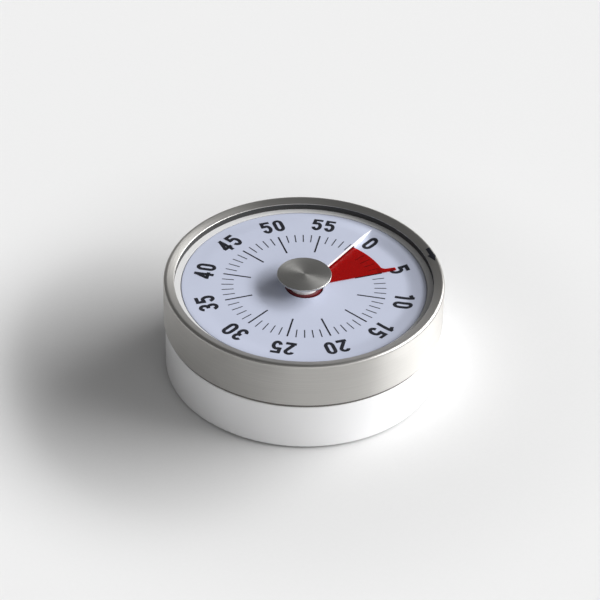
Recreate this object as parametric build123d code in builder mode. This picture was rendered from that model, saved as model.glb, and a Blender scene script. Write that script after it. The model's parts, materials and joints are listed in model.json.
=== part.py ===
from build123d import *
from math import acos, asin, cos, degrees, pi, radians, sin, tan
import os

# Puck-shaped mechanical countdown timer, millimetres.
# +Z leaves the dial, the rest face is z = 0, and the dial's 0 mark points along +Y.
# Dial angles run clockwise from the 0 mark, seen from above; the timer is drawn at 5 minutes.

os.makedirs("parts", exist_ok=True)

# ---- driving dimensions -------------------------------------------------
RING_R = 40.0
RING_T = 0.8
RING_BOTTOM = 15.9
RING_TOP = 30.0
LIP_R = 36.9
LIP_DROP = 0.4
LIP_EDGE_Z = 28.95
LIP_FILLET = 0.8
LIP_INNER_FILLET = 0.3

BASE_R = 39.5
BASE_BOTTOM = 0.5
BASE_TOP = 14.9
BASE_WALL = 1.8
BASE_FILLET = 0.4
FOOT_R_IN = 36.2
FOOT_R_OUT = 38.6
FOOT_GROOVE_TOP = 1.3
FOOT_FILLET = 0.3

COLLAR_R = 39.1
NECK_R = 38.3
SPIGOT_R = 37.6
SPIGOT_BOTTOM = 12.5
HOUSING_INNER_R = 35.8
DECK_BOTTOM = 23.4
DECK_TOP = 24.6
BAND_TOP = 27.3
DIAL_POCKET_R = 35.15
DIAL_SEAT_R = 34.4
GASKET_R_IN = 36.95
GASKET_R_OUT = 37.95

DIAL_R = 34.9
DIAL_HOLE_R = 5.5
DIAL_T = 0.8
DIAL_START_Z = 26.3
DIAL_PITCH = 1.6
DIAL_TURN = 359.9
DIAL_RIM_Z = 27.3
DIAL_RIM_R = 34.3
DIAL_ROWS = (DIAL_HOLE_R, 9.0, 13.0, 17.0, 21.0, 25.0, 29.0, 30.0, 31.1, 32.2, 33.3, DIAL_RIM_R, DIAL_R)
DIAL_STEPS = 72
DIAL_FIT = 0.002
RAMP_PATH_R = 20.0
SLIT_END_R = 29.0
SLIT_LEAN = 6.5
STEP_WALL_T = 0.6
STEP_WALL_IN_R = 24.7
STEP_WALL_OUT_R = 34.0
STEP_WALL_POINTS = 9
STEP_GAP = 0.03

FILM_R = 24.2
FILM_T = 0.2
FILM_LIFT = 0.1
FILM_TURN = 364.0
REST_ANGLE = 30.0
HUB_R = 5.0
HUB_BORE_R = 4.1
HUB_BOTTOM = 25.1
HUB_TOP = 27.0
TAB_R = 28.0
TAB_BASE_W = 2.0
TAB_TIP_W = 1.2

STEM_R = 4.0
STEM_BOTTOM = 22.5
STEM_TOP = 29.9
STEM_SPIGOT_R = 2.45
STEM_SPIGOT_TOP = 30.8
KEY_W = 0.8
KEY_TURN = 40.0
KEY_R = 4.5
KEY_BOTTOM = 24.8
KNOB_R = 7.75
KNOB_SHOULDER_R = 4.6
KNOB_RIM_BOTTOM = 30.75
KNOB_RIM_TOP = 31.4
KNOB_TOP = 31.5
KNOB_FLAT_R = 3.0
KNOB_BEVEL = 0.15
SLIDE_GAP = 0.1

PLATE_R = 27.5
PLATE_T = 1.0
BACK_PLATE_Z = 8.4
FRONT_PLATE_Z = 20.4
PILLAR_R = 1.5
PILLAR_PLACE_R = 24.5
PILLAR_ANGLES = (35, 125, 200, 290)
PILLAR_SCREW_R = 0.8
PILLAR_HEAD_R = 1.6
PILLAR_HEAD_T = 0.6
BOSS_R = 2.2
BOSS_PLACE_R = 24.0
BOSS_ANGLES = (70, 170, 320)
BOSS_SCREW_R = 0.8
BOSS_SCREW_L = 2.6
BOSS_HEAD_R = 1.5
BOSS_HEAD_T = 0.6

ARBOR_R = 1.5
PIVOT_GAP = 0.05
MAIN_ARBOR_BOTTOM = 8.5
MAIN_ARBOR_TOP = 28.4
THIN_ARBOR_R = 0.7
THIN_ARBOR_BOTTOM = 8.5
THIN_ARBOR_TOP = 21.3

PRESSURE_ANGLE = 25.0
ADDENDUM = 0.7
DEDENDUM = 1.0
BACKLASH = 0.14

MAIN_TEETH, MAIN_MODULE = 60, 0.4
SECOND_TEETH, SECOND_MODULE = 50, 0.35
THIRD_TEETH, THIRD_MODULE = 40, 0.3
PINION_TEETH = 10
ESCAPE_TEETH = 24
ESCAPE_R = 4.0
ESCAPE_ROOT_R = 3.1

SECOND_DIRECTION = 150.0
THIRD_DIRECTION = 56.6
ESCAPE_DIRECTION = 21.2
VERGE_DIRECTION = -10.0
VERGE_DISTANCE = 5.8

MAIN_WHEEL_Z, MAIN_WHEEL_T = 15.7, 1.0
SECOND_WHEEL_Z, SECOND_WHEEL_T = 17.2, 0.8
THIRD_WHEEL_Z, THIRD_WHEEL_T = 18.6, 0.8
ESCAPE_WHEEL_Z, ESCAPE_WHEEL_T = 12.6, 0.6
PINION_OVERHANG = 0.4
ESCAPE_LEAN = 0.7

PALLET_PIN_R = 0.25
PALLET_REACH = ESCAPE_R + 0.45
PALLET_SPAN = 37.5
PALLET_LIFT = 0.4
PALLET_Z = ESCAPE_WHEEL_Z + ESCAPE_WHEEL_T + PALLET_LIFT
PALLET_T = 0.8
PALLET_HUB_R = 1.3
BALANCE_Z = 10.4
BALANCE_T = 1.4
BALANCE_L = 9.6
BALANCE_W = 2.0

SPRING_R = 3.6
SPRING_PITCH = 0.9
SPRING_TURNS = 7
SPRING_STRIP = 0.3
SPRING_Z, SPRING_W = 9.8, 4.2

RATCHET_Z, RATCHET_T = 14.4, 1.0
RATCHET_TEETH = 16
RATCHET_R = 5.2
RATCHET_ROOT_R = 4.5
RATCHET_LEAN = 0.85
CLICK_PIVOT_R = 8.6
CLICK_PIN_R = 0.7
CLICK_W = 1.6
CLICK_TIP_GAP = 0.2
CLICK_DIRECTION = 90
CLICK_TIP_DIRECTION = 60

CAM_Z, CAM_T = 18.6, 1.0
CAM_R = 8.0
CAM_NOTCH_W = 1.6
CAM_NOTCH_DEPTH = 1.4

BELL_R = 23.0
BELL_T = 0.8
BELL_BOTTOM = 3.3
BELL_TOP = 6.8
BELL_FILLET = 2.0
BELL_POST_R = 2.6
BELL_SCREW_R = 1.2
BELL_HEAD_R = 2.4
BELL_HEAD_T = 0.6
BELL_SCREW_L = 4.0

HAMMER_DIRECTION = -30.0
HAMMER_PIVOT_R = 19.0
HAMMER_HEAD_PLACE = -10.0
HAMMER_HEAD_PLACE_R = 25.4
HAMMER_HEAD_R = 1.6
HAMMER_HEAD_BOTTOM = 4.4
HAMMER_ARM_Z, HAMMER_ARM_T = 7.1, 0.8
HAMMER_ARM_W = 2.2
HAMMER_TAIL_Z, HAMMER_TAIL_T = 18.7, 0.8
HAMMER_TAIL_W = 1.6
HAMMER_ARBOR_R = 0.9
HAMMER_HUB_R = 1.8

MAGNET_R = 4.0
MAGNET_T = 3.0
MAGNET_PLACE_R = 30.5
MAGNET_ANGLES = (50, 170, 290)
MAGNET_CUP_WALL = 1.2
SCREW_PLACE_R = 31.5
SCREW_ANGLES = (110, 230, 350)
SCREW_POST_R = 3.0
SCREW_SHAFT_R = 1.1
SCREW_HEAD_R = 2.2
SCREW_HEAD_T = 1.2
SCREW_HEAD_Z = 0.7
SCREW_L = 9.0
SCREW_RECESS_W = 0.7
POST_BOTTOM = 4.1
FLOOR_TOP = BASE_BOTTOM + BASE_WALL


# ---- shared geometry ----------------------------------------------------
def polar(radius, degrees):
    """Point in the XY plane at a mathematical angle."""
    return (radius * cos(radians(degrees)), radius * sin(radians(degrees)))


def around(radius, angles):
    """Points on a circle, one for each angle."""
    return [polar(radius, a) for a in angles]


def stepped(place, distance, degrees):
    """Point a given distance from another one."""
    dx, dy = polar(distance, degrees)
    return (place[0] + dx, place[1] + dy)


def save(part, name):
    """Label a finished piece and write it."""
    part.label = name
    export_step(part, f"parts/{name}.step")


def helicoid(outline, rise, start, turn):
    """Ramp that climbs clockwise by DIAL_PITCH each turn.

    outline holds (radius, height) points around its middle line, rise is that line's
    height at dial angle 0, and start and turn are in degrees.
    """
    path = Helix(DIAL_PITCH, DIAL_PITCH * turn / 360, RAMP_PATH_R, lefthand=True)
    section = Plane.XZ * make_face(Polyline(*outline, close=True))
    plate = sweep(sections=section, path=path, is_frenet=True)
    lift = rise + DIAL_PITCH * start / 360
    return Pos(0, 0, lift) * Rot(0, 0, 90 - start) * plate


def ramp_share(radius):
    """How far the dial follows its ramp: 1 inside the slit, easing to 0 at the flat rim."""
    along = (DIAL_RIM_R - radius) / (DIAL_RIM_R - SLIT_END_R)
    along = min(max(along, 0), 1)
    return along * along * (3 - 2 * along)


def dial_point(radius, turned):
    """Point on the dial's top, turned degrees clockwise from the slit's low edge."""
    angle = turned - SLIT_LEAN + degrees(asin(DIAL_HOLE_R * sin(radians(SLIT_LEAN)) / radius))
    rise = DIAL_START_Z + DIAL_PITCH * angle / 360 - DIAL_RIM_Z
    height = DIAL_RIM_Z + rise * ramp_share(radius)
    return Vector(radius * sin(radians(angle)), radius * cos(radians(angle)), height)


def involute_angle(base_r, radius):
    """Polar angle of base_r's involute where it reaches a radius."""
    pressure = acos(base_r / radius)
    return tan(pressure) - pressure


def gear_outline(teeth, module, turned):
    """Closed involute outline; a tooth is centred on the angle turned, in degrees."""
    pitch_r = teeth * module / 2
    base_r = pitch_r * cos(radians(PRESSURE_ANGLE))
    tip_r = pitch_r + ADDENDUM * module
    root_r = pitch_r - DEDENDUM * module
    half = (pi / 2 - BACKLASH) / teeth + involute_angle(base_r, pitch_r)
    flank = []
    for radius in (max(root_r, base_r), pitch_r, tip_r):
        flank.append((radius, half - involute_angle(base_r, radius)))
    if root_r < base_r:
        flank.insert(0, (root_r, half))
    points = []
    for tooth in range(teeth):
        centre = radians(turned) + 2 * pi * tooth / teeth
        sides = [(r, centre - a) for r, a in flank] + [(r, centre + a) for r, a in reversed(flank)]
        points += [(r * cos(a), r * sin(a)) for r, a in sides]
    return points


def saw_outline(teeth, tip_r, root_r, turned, lean):
    """Closed saw-tooth outline; lean is the share of a tooth before its tip."""
    points = []
    for tooth in range(teeth):
        step = 360 / teeth
        points.append(polar(root_r, turned + step * tooth))
        points.append(polar(tip_r, turned + step * (tooth + lean)))
    return points


SECOND_DISTANCE = (MAIN_TEETH + PINION_TEETH) * MAIN_MODULE / 2
THIRD_DISTANCE = (SECOND_TEETH + PINION_TEETH) * SECOND_MODULE / 2
ESCAPE_DISTANCE = (THIRD_TEETH + PINION_TEETH) * THIRD_MODULE / 2
SECOND_PLACE = polar(SECOND_DISTANCE, SECOND_DIRECTION)
THIRD_PLACE = stepped(SECOND_PLACE, THIRD_DISTANCE, THIRD_DIRECTION)
ESCAPE_PLACE = stepped(THIRD_PLACE, ESCAPE_DISTANCE, ESCAPE_DIRECTION)
VERGE_PLACE = stepped(ESCAPE_PLACE, VERGE_DISTANCE, VERGE_DIRECTION)
HAMMER_PLACE = polar(HAMMER_PIVOT_R, HAMMER_DIRECTION)
CLICK_PLACE = polar(CLICK_PIVOT_R, CLICK_DIRECTION)
THIN_PLACES = [SECOND_PLACE, THIRD_PLACE, ESCAPE_PLACE, VERGE_PLACE]

# ---- case ---------------------------------------------------------------
with BuildPart() as steel_ring:
    with BuildSketch(Plane.XZ):
        with BuildLine():
            Polyline(
                (RING_R - RING_T, RING_BOTTOM),
                (RING_R, RING_BOTTOM),
                (RING_R, RING_TOP),
                (LIP_R, RING_TOP - LIP_DROP),
                (LIP_R, LIP_EDGE_Z),
                (RING_R - RING_T, LIP_EDGE_Z),
                close=True,
            )
        make_face()
        corners = (RING_R, RING_TOP), (LIP_R, RING_TOP - LIP_DROP)
        for (r, z), size in zip(corners, (LIP_FILLET, LIP_INNER_FILLET)):
            fillet(vertices().sort_by_distance((r, z))[0], size)
    revolve(axis=Axis.Z)
save(steel_ring.part, "steel_ring")

with BuildPart() as lip_gasket:
    with BuildSketch(Plane.XY.offset(BAND_TOP)):
        Circle(GASKET_R_OUT)
        Circle(GASKET_R_IN, mode=Mode.SUBTRACT)
    extrude(amount=LIP_EDGE_Z - BAND_TOP)
save(lip_gasket.part, "lip_gasket")

with BuildPart() as dial_housing:
    with BuildSketch(Plane.XZ):
        with BuildLine():
            Polyline(
                (HUB_BORE_R, STEM_BOTTOM),
                (HUB_BORE_R + 2 * BASE_WALL, STEM_BOTTOM),
                (HUB_BORE_R + 2 * BASE_WALL, DECK_BOTTOM),
                (HOUSING_INNER_R, DECK_BOTTOM),
                (HOUSING_INNER_R, SPIGOT_BOTTOM),
                (SPIGOT_R, SPIGOT_BOTTOM),
                (SPIGOT_R, BASE_TOP),
                (NECK_R, BASE_TOP),
                (NECK_R, RING_BOTTOM),
                (COLLAR_R, RING_BOTTOM),
                (COLLAR_R, LIP_EDGE_Z),
                (GASKET_R_OUT, LIP_EDGE_Z),
                (GASKET_R_OUT, BAND_TOP),
                (DIAL_POCKET_R, BAND_TOP),
                (DIAL_POCKET_R, DIAL_RIM_Z - DIAL_T),
                (DIAL_SEAT_R, DIAL_RIM_Z - DIAL_T),
                (DIAL_SEAT_R, DECK_TOP),
                (HUB_BORE_R, DECK_TOP),
                close=True,
            )
        make_face()
    revolve(axis=Axis.Z)
    with BuildSketch(Plane.XY.offset(POST_BOTTOM)):
        with Locations(*around(SCREW_PLACE_R, SCREW_ANGLES)):
            Circle(SCREW_POST_R)
    extrude(amount=DECK_BOTTOM - POST_BOTTOM)
    with BuildSketch(Plane.XY.offset(FRONT_PLATE_Z + PLATE_T)):
        with Locations(*around(BOSS_PLACE_R, BOSS_ANGLES)):
            Circle(BOSS_R)
    extrude(amount=DECK_BOTTOM - FRONT_PLATE_Z - PLATE_T)
    with BuildSketch(Plane.XY.offset(POST_BOTTOM)):
        with Locations(*around(SCREW_PLACE_R, SCREW_ANGLES)):
            Circle(SCREW_SHAFT_R)
    extrude(amount=SCREW_L, mode=Mode.SUBTRACT)
    with BuildSketch(Plane.XY.offset(FRONT_PLATE_Z + PLATE_T)):
        with Locations(*around(BOSS_PLACE_R, BOSS_ANGLES)):
            Circle(BOSS_SCREW_R)
    extrude(amount=BOSS_SCREW_L - PLATE_T, mode=Mode.SUBTRACT)
save(dial_housing.part, "dial_housing")

with BuildPart() as base_shell:
    with BuildSketch(Plane.XZ):
        with BuildLine():
            Polyline(
                (0, BASE_BOTTOM),
                (FOOT_R_IN, BASE_BOTTOM),
                (FOOT_R_IN, FOOT_GROOVE_TOP),
                (FOOT_R_OUT, FOOT_GROOVE_TOP),
                (FOOT_R_OUT, BASE_BOTTOM),
                (BASE_R, BASE_BOTTOM),
                (BASE_R, BASE_TOP),
                (BASE_R - BASE_WALL, BASE_TOP),
                (BASE_R - BASE_WALL, FLOOR_TOP),
                (0, FLOOR_TOP),
                close=True,
            )
        make_face()
        fillet(vertices().sort_by_distance((BASE_R, BASE_BOTTOM))[0], BASE_FILLET)
        fillet(vertices().sort_by_distance((BASE_R, BASE_TOP))[0], FOOT_FILLET)
    revolve(axis=Axis.Z)
    with BuildSketch(Plane.XY.offset(FLOOR_TOP)):
        with Locations(*around(MAGNET_PLACE_R, MAGNET_ANGLES)):
            Circle(MAGNET_R + MAGNET_CUP_WALL)
        with Locations(*around(SCREW_PLACE_R, SCREW_ANGLES)):
            Circle(SCREW_POST_R)
    extrude(amount=POST_BOTTOM - FLOOR_TOP)
    with BuildSketch(Plane.XY.offset(BASE_BOTTOM)):
        with Locations(*around(MAGNET_PLACE_R, MAGNET_ANGLES)):
            Circle(MAGNET_R + PIVOT_GAP)
    extrude(amount=MAGNET_T, mode=Mode.SUBTRACT)
    with BuildSketch(Plane.XY.offset(BASE_BOTTOM)):
        with Locations(*around(SCREW_PLACE_R, SCREW_ANGLES)):
            Circle(SCREW_HEAD_R + SLIDE_GAP)
    extrude(amount=SCREW_HEAD_Z + SCREW_HEAD_T - BASE_BOTTOM, mode=Mode.SUBTRACT)
    with BuildSketch(Plane.XY.offset(BASE_BOTTOM)):
        with Locations(*around(SCREW_PLACE_R, SCREW_ANGLES)):
            Circle(SCREW_SHAFT_R + SLIDE_GAP)
    extrude(amount=POST_BOTTOM - BASE_BOTTOM, mode=Mode.SUBTRACT)
save(base_shell.part, "base_shell")

with BuildPart() as foot_ring:
    with BuildSketch(Plane.XY):
        Circle(FOOT_R_OUT)
        Circle(FOOT_R_IN, mode=Mode.SUBTRACT)
    extrude(amount=FOOT_GROOVE_TOP)
    fillet(faces().sort_by(Axis.Z)[0].edges(), FOOT_FILLET)
save(foot_ring.part, "foot_ring")

with BuildPart() as magnets:
    with BuildSketch(Plane.XY.offset(BASE_BOTTOM)):
        with Locations(*around(MAGNET_PLACE_R, MAGNET_ANGLES)):
            Circle(MAGNET_R)
    extrude(amount=MAGNET_T)
    chamfer(faces().filter_by(Axis.Z).edges(), SLIDE_GAP)
save(magnets.part, "magnets")

with BuildPart() as case_screws:
    with BuildSketch(Plane.XY.offset(SCREW_HEAD_Z)):
        with Locations(*around(SCREW_PLACE_R, SCREW_ANGLES)):
            Circle(SCREW_HEAD_R)
    extrude(amount=SCREW_HEAD_T)
    chamfer(faces().sort_by(Axis.Z)[0:3].edges(), SLIDE_GAP)
    with BuildSketch(Plane.XY.offset(SCREW_HEAD_Z + SCREW_HEAD_T)):
        with Locations(*around(SCREW_PLACE_R, SCREW_ANGLES)):
            Circle(SCREW_SHAFT_R)
    extrude(amount=SCREW_L)
    with BuildSketch(Plane.XY.offset(SCREW_HEAD_Z)):
        with Locations(*around(SCREW_PLACE_R, SCREW_ANGLES)):
            Rectangle(2 * SCREW_SHAFT_R, SCREW_RECESS_W)
            Rectangle(SCREW_RECESS_W, 2 * SCREW_SHAFT_R)
    extrude(amount=SCREW_RECESS_W, mode=Mode.SUBTRACT)
save(case_screws.part, "case_screws")

# ---- dial and red film --------------------------------------------------
dial_top = Face.make_surface_from_array_of_points(
    [
        [dial_point(radius, DIAL_TURN * step / DIAL_STEPS) for step in range(DIAL_STEPS + 1)]
        for radius in DIAL_ROWS
    ],
    tol=DIAL_FIT,
)
dial_sheet = Solid.extrude(dial_top, Vector(0, 0, -DIAL_T))
with BuildPart() as dial:
    add(dial_sheet)
save(dial.part, "dial")

slit_in = dial_point(STEP_WALL_IN_R, DIAL_TURN)
slit_out = dial_point(STEP_WALL_OUT_R, DIAL_TURN)
slit_way = Vector(slit_out.X - slit_in.X, slit_out.Y - slit_in.Y, 0)
wall_tops = []
for step in range(STEP_WALL_POINTS + 1):
    wall_r = STEP_WALL_IN_R + (STEP_WALL_OUT_R - STEP_WALL_IN_R) * step / STEP_WALL_POINTS
    under = dial_point(wall_r, DIAL_TURN)
    wall_along = Vector(under.X - slit_in.X, under.Y - slit_in.Y, 0).length
    wall_tops.append((wall_along, under.Z - DIAL_T - STEP_GAP))
with BuildPart() as step_wall:
    wall_plane = Plane(
        origin=(slit_in.X, slit_in.Y, 0), x_dir=slit_way, z_dir=slit_way.cross(Vector(0, 0, 1))
    )
    with BuildSketch(wall_plane.offset(STEP_GAP)):
        with BuildLine():
            Polyline((0, DECK_TOP), *wall_tops, (slit_way.length, DECK_TOP), close=True)
        make_face()
    extrude(amount=-STEP_WALL_T)
save(step_wall.part, "step_wall")

film_low = DIAL_START_Z + FILM_LIFT
film_sheet = helicoid(
    [(HUB_R, -FILM_T / 2), (FILM_R, -FILM_T / 2), (FILM_R, FILM_T / 2), (HUB_R, FILM_T / 2)],
    film_low + FILM_T / 2,
    REST_ANGLE - FILM_TURN,
    FILM_TURN,
)
with BuildPart() as red_disc:
    add(film_sheet)
    edge_plane = Plane(
        origin=(0, 0, film_low + DIAL_PITCH * (REST_ANGLE - TAB_BASE_W) / 360),
        x_dir=(sin(radians(REST_ANGLE)), cos(radians(REST_ANGLE)), 0),
        z_dir=(0, 0, 1),
    )
    with BuildSketch(edge_plane):
        with BuildLine():
            Polyline(
                (FILM_R - TAB_TIP_W, 0),
                (TAB_R, 0),
                (TAB_R, TAB_TIP_W),
                (FILM_R - TAB_TIP_W, TAB_BASE_W),
                close=True,
            )
        make_face()
    extrude(amount=FILM_T)
save(red_disc.part, "red_disc")

with BuildPart() as film_hub:
    with BuildSketch(Plane.XY.offset(HUB_BOTTOM)):
        Circle(HUB_R)
        Circle(HUB_BORE_R, mode=Mode.SUBTRACT)
        Rectangle(
            2 * (KEY_R + SLIDE_GAP), KEY_W + 2 * SLIDE_GAP, rotation=KEY_TURN, mode=Mode.SUBTRACT
        )
    extrude(amount=HUB_TOP - HUB_BOTTOM)
save(film_hub.part, "film_hub")

# ---- knob and main arbor ------------------------------------------------
with BuildPart() as knob_cap:
    with BuildSketch(Plane.XZ):
        with BuildLine():
            Polyline(
                (0, STEM_SPIGOT_TOP),
                (STEM_SPIGOT_R + PIVOT_GAP, STEM_SPIGOT_TOP),
                (STEM_SPIGOT_R + PIVOT_GAP, STEM_TOP),
                (KNOB_SHOULDER_R, STEM_TOP),
                (KNOB_R, KNOB_RIM_BOTTOM),
                (KNOB_R, KNOB_RIM_TOP - KNOB_BEVEL),
                (KNOB_R - KNOB_BEVEL, KNOB_RIM_TOP),
                (KNOB_FLAT_R, KNOB_TOP),
                (0, KNOB_TOP),
                close=True,
            )
        make_face()
    revolve(axis=Axis.Z)
save(knob_cap.part, "knob_cap")

with BuildPart() as knob_stem:
    with BuildSketch(Plane.XY.offset(STEM_BOTTOM)):
        Circle(STEM_R)
    extrude(amount=STEM_TOP - STEM_BOTTOM)
    with BuildSketch(Plane.XY.offset(KEY_BOTTOM)):
        Rectangle(2 * KEY_R, KEY_W, rotation=KEY_TURN)
    extrude(amount=STEM_TOP - KEY_BOTTOM)
    with BuildSketch(Plane.XY.offset(STEM_TOP)):
        Circle(STEM_SPIGOT_R)
    extrude(amount=STEM_SPIGOT_TOP - STEM_TOP)
    with BuildSketch(Plane.XY.offset(STEM_BOTTOM)):
        Circle(ARBOR_R)
    extrude(amount=MAIN_ARBOR_TOP - STEM_BOTTOM, mode=Mode.SUBTRACT)
save(knob_stem.part, "knob_stem")

with BuildPart() as main_arbor:
    with BuildSketch(Plane.XY.offset(MAIN_ARBOR_BOTTOM)):
        Circle(ARBOR_R)
    extrude(amount=MAIN_ARBOR_TOP - MAIN_ARBOR_BOTTOM)
save(main_arbor.part, "main_arbor")

# ---- movement frame -----------------------------------------------------
PLATES = (("front_plate", FRONT_PLATE_Z, BOSS_ANGLES), ("back_plate", BACK_PLATE_Z, ()))
for plate_name, plate_z, boss_angles in PLATES:
    with BuildPart() as plate:
        with BuildSketch(Plane.XY.offset(plate_z)):
            Circle(PLATE_R)
            Circle(ARBOR_R + PIVOT_GAP, mode=Mode.SUBTRACT)
            with Locations(*THIN_PLACES):
                Circle(THIN_ARBOR_R + PIVOT_GAP, mode=Mode.SUBTRACT)
            with Locations(HAMMER_PLACE):
                Circle(HAMMER_ARBOR_R + PIVOT_GAP, mode=Mode.SUBTRACT)
            with Locations(*around(PILLAR_PLACE_R, PILLAR_ANGLES)):
                Circle(PILLAR_SCREW_R, mode=Mode.SUBTRACT)
            for place in around(BOSS_PLACE_R, boss_angles):
                with Locations(place):
                    Circle(BOSS_SCREW_R, mode=Mode.SUBTRACT)
        extrude(amount=PLATE_T)
    save(plate.part, plate_name)

PILLAR_BOTTOM = BACK_PLATE_Z + PLATE_T
with BuildPart() as plate_pillars:
    with BuildSketch(Plane.XY.offset(PILLAR_BOTTOM)):
        with Locations(*around(PILLAR_PLACE_R, PILLAR_ANGLES)):
            Circle(PILLAR_R)
            Circle(PILLAR_SCREW_R, mode=Mode.SUBTRACT)
    extrude(amount=FRONT_PLATE_Z - PILLAR_BOTTOM)
save(plate_pillars.part, "plate_pillars")

with BuildPart() as pillar_bolts:
    with BuildSketch(Plane.XY.offset(BACK_PLATE_Z - PILLAR_HEAD_T)):
        with Locations(*around(PILLAR_PLACE_R, PILLAR_ANGLES)):
            Circle(PILLAR_HEAD_R)
    extrude(amount=PILLAR_HEAD_T)
    with BuildSketch(Plane.XY.offset(BACK_PLATE_Z)):
        with Locations(*around(PILLAR_PLACE_R, PILLAR_ANGLES)):
            Circle(PILLAR_SCREW_R)
    extrude(amount=FRONT_PLATE_Z + PLATE_T - BACK_PLATE_Z)
save(pillar_bolts.part, "pillar_bolts")

with BuildPart() as movement_screws:
    with BuildSketch(Plane.XY.offset(FRONT_PLATE_Z - BOSS_HEAD_T)):
        with Locations(*around(BOSS_PLACE_R, BOSS_ANGLES)):
            Circle(BOSS_HEAD_R)
    extrude(amount=BOSS_HEAD_T)
    with BuildSketch(Plane.XY.offset(FRONT_PLATE_Z)):
        with Locations(*around(BOSS_PLACE_R, BOSS_ANGLES)):
            Circle(BOSS_SCREW_R)
    extrude(amount=BOSS_SCREW_L)
save(movement_screws.part, "movement_screws")

# ---- mainspring ---------------------------------------------------------
spring_middle_z = SPRING_Z + SPRING_W / 2
with BuildPart() as mainspring:
    with BuildLine(Plane.XY.offset(spring_middle_z)):
        for turn in range(SPRING_TURNS):
            upper_r = SPRING_R + SPRING_PITCH * turn
            lower_r = upper_r + SPRING_PITCH / 2
            CenterArc((0, 0), upper_r, 0, 180)
            CenterArc((SPRING_PITCH / 2, 0), lower_r, 180, 180)
    with BuildSketch(Plane(origin=(SPRING_R, 0, spring_middle_z), x_dir=(1, 0, 0), z_dir=(0, 1, 0))):
        Rectangle(SPRING_STRIP, SPRING_W)
    sweep()
save(mainspring.part, "mainspring")

spring_end = (SPRING_R + SPRING_PITCH * SPRING_TURNS, 0)
with BuildPart() as spring_stud:
    with BuildSketch(Plane.XY.offset(PILLAR_BOTTOM)):
        with Locations((spring_end[0] + THIN_ARBOR_R + SPRING_STRIP / 2, -THIN_ARBOR_R)):
            Circle(THIN_ARBOR_R)
    extrude(amount=RATCHET_Z - PILLAR_BOTTOM)
save(spring_stud.part, "spring_stud")

# ---- main wheel, ratchet, click and cam ---------------------------------
with BuildPart() as main_wheel:
    with BuildSketch(Plane.XY.offset(MAIN_WHEEL_Z)):
        with BuildLine():
            Polyline(*gear_outline(MAIN_TEETH, MAIN_MODULE, SECOND_DIRECTION), close=True)
        make_face()
        Circle(ARBOR_R, mode=Mode.SUBTRACT)
    extrude(amount=MAIN_WHEEL_T)
save(main_wheel.part, "main_wheel")

with BuildPart() as ratchet_wheel:
    with BuildSketch(Plane.XY.offset(RATCHET_Z)):
        with BuildLine():
            Polyline(
                *saw_outline(RATCHET_TEETH, RATCHET_R, RATCHET_ROOT_R, 0, RATCHET_LEAN), close=True
            )
        make_face()
        Circle(ARBOR_R, mode=Mode.SUBTRACT)
    extrude(amount=RATCHET_T)
save(ratchet_wheel.part, "ratchet_wheel")

with BuildPart() as click_pin:
    with BuildSketch(Plane.XY.offset(RATCHET_Z)):
        with Locations(CLICK_PLACE):
            Circle(CLICK_PIN_R)
    extrude(amount=MAIN_WHEEL_Z - RATCHET_Z)
save(click_pin.part, "click_pin")

click_tip = polar(RATCHET_R + CLICK_TIP_GAP, CLICK_TIP_DIRECTION)
with BuildPart() as click:
    with BuildSketch(Plane.XY.offset(RATCHET_Z)):
        with Locations(CLICK_PLACE):
            Circle(CLICK_W)
        with BuildLine():
            Polyline(
                (CLICK_PLACE[0], CLICK_PLACE[1] + CLICK_W),
                (CLICK_PLACE[0] - CLICK_W / 2, CLICK_PLACE[1] - CLICK_W / 2),
                click_tip,
                close=True,
            )
        make_face()
        with Locations(CLICK_PLACE):
            Circle(CLICK_PIN_R + PIVOT_GAP, mode=Mode.SUBTRACT)
    extrude(amount=RATCHET_T)
save(click.part, "click")

with BuildPart() as release_cam:
    with BuildSketch(Plane.XY.offset(CAM_Z)):
        Circle(CAM_R)
        Circle(ARBOR_R, mode=Mode.SUBTRACT)
        with PolarLocations(CAM_R, 1, start_angle=HAMMER_DIRECTION - REST_ANGLE):
            Rectangle(2 * CAM_NOTCH_DEPTH, CAM_NOTCH_W, mode=Mode.SUBTRACT)
    extrude(amount=CAM_T)
save(release_cam.part, "release_cam")

# ---- going train --------------------------------------------------------
half_pinion = 180 / PINION_TEETH


def train_wheel(name, teeth, module, place, towards, height, thickness):
    """Brass wheel on a thin arbor, a tooth pointing along towards."""
    outline = gear_outline(teeth, module, towards)
    with BuildPart() as wheel:
        with BuildSketch(Plane(origin=(place[0], place[1], height))):
            with BuildLine():
                Polyline(*outline, close=True)
            make_face()
            Circle(THIN_ARBOR_R, mode=Mode.SUBTRACT)
        extrude(amount=thickness)
    save(wheel.part, name)


def pinion_arbor(name, module, place, towards, driver_z, driver_t):
    """Steel arbor with a pinion, a tooth gap facing back along towards."""
    outline = gear_outline(PINION_TEETH, module, towards + 180 + half_pinion)
    with BuildPart() as arbor:
        with BuildSketch(Plane(origin=(place[0], place[1], THIN_ARBOR_BOTTOM))):
            Circle(THIN_ARBOR_R)
        extrude(amount=THIN_ARBOR_TOP - THIN_ARBOR_BOTTOM)
        with BuildSketch(Plane(origin=(place[0], place[1], driver_z - PINION_OVERHANG))):
            with BuildLine():
                Polyline(*outline, close=True)
            make_face()
        extrude(amount=driver_t + 2 * PINION_OVERHANG - SLIDE_GAP)
    save(arbor.part, name)


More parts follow.
